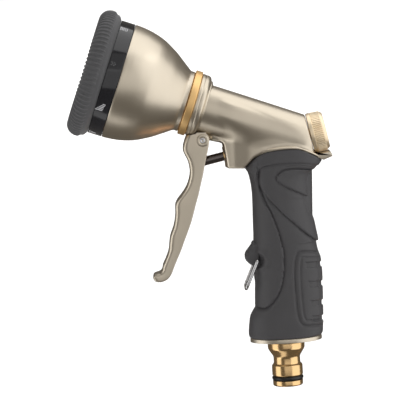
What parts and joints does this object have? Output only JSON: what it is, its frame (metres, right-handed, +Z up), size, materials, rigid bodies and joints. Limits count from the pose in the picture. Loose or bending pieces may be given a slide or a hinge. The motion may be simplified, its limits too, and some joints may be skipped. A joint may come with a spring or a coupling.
{
  "type": "hose spray nozzle",
  "caption": "Pistol-grip garden hose spray nozzle with a front trigger, turning pattern head, rear flow knob, wire lock clip and quick-connect hose plug.",
  "frame": {"origin": "centre of the hose plug bore, at the plug lower end face", "axes": "+Z up along the hose plug and the handle, -X towards the spray head, +Y to the left of someone who holds it and sprays away from them"},
  "size_m": [0.1444, 0.0714, 0.2124],
  "materials": {
    "satin_zinc": "satin nickel plated zinc casting, champagne tone",
    "bright_zinc": "satin nickel, a little brighter",
    "brass": "polished brass",
    "grip_rubber": "matt moulded rubber",
    "bumper_rubber": "matt ribbed rubber",
    "black_plastic": "glossy black with printed spray icons",
    "grey_plastic": "moulded",
    "white_plastic": "moulded acetal",
    "steel": "stainless",
    "dark_steel": "dark steel",
    "seal_rubber": "nitrile rubber"
  },
  "bodies": {
    "body": {"body_casting": "satin_zinc", "spray_bell": "satin_zinc", "end_ring": "bright_zinc", "grip_sleeve": "grip_rubber", "hose_plug": "brass", "plug_oring": "seal_rubber", "inlet_screen": "steel", "neck_ring": "brass", "bell_gasket": "seal_rubber", "port_plate": "white_plastic", "port_seal": "seal_rubber", "detent_spring": "steel", "detent_ball": "steel", "dial_screw": "steel", "trigger_pin": "steel", "stem_gland": "brass", "stem_seal": "seal_rubber", "valve_seat": "brass", "valve_bonnet": "brass", "bonnet_oring": "seal_rubber", "valve_spring": "steel"},
    "dial": {"dial_collar": "black_plastic", "dial_face": "grey_plastic", "dial_bumper": "bumper_rubber"},
    "trigger": {"trigger": "satin_zinc"},
    "valve": {"valve_stem": "dark_steel", "valve_washer": "seal_rubber", "valve_poppet": "brass", "valve_nut": "brass"},
    "flow_knob": {"flow_knob": "brass", "flow_sleeve": "brass", "knob_screw": "steel"},
    "lock_clip": {"lock_clip": "steel"}
  },
  "joints": [
    {"name": "trigger_squeeze", "type": "hinge", "parent": "body", "child": "trigger", "pos_m": [-0.0399, 0, 0.1389], "axis": [0, -1, 0], "range_deg": [0, 30], "stiffness_Nm_per_rad": 0.12, "springref_deg": -28.65},
    {"name": "valve_slide", "type": "slide", "parent": "body", "child": "valve", "axis": [0.9799, 0, 0.1994], "range_m": [0, 0.0063], "deforming": ["valve_spring"]},
    {"name": "dial_turn", "type": "hinge", "parent": "body", "child": "dial", "pos_m": [-0.0455, 0, 0.1593], "axis": [-0.9367, 0, 0.3502], "continuous": true},
    {"name": "knob_turn", "type": "hinge", "parent": "body", "child": "flow_knob", "pos_m": [-0.0282, 0, 0.1291], "axis": [0.9799, 0, 0.1994], "range_deg": [0, 180]},
    {"name": "clip_swing", "type": "hinge", "parent": "body", "child": "lock_clip", "pos_m": [-0.0134, 0, 0.0713], "axis": [0, 1, 0], "range_deg": [-10, 45]}
  ],
  "couplings": [
    {"joint": "valve_slide", "follows": "trigger_squeeze", "m_per_rad": 0.012}
  ]
}
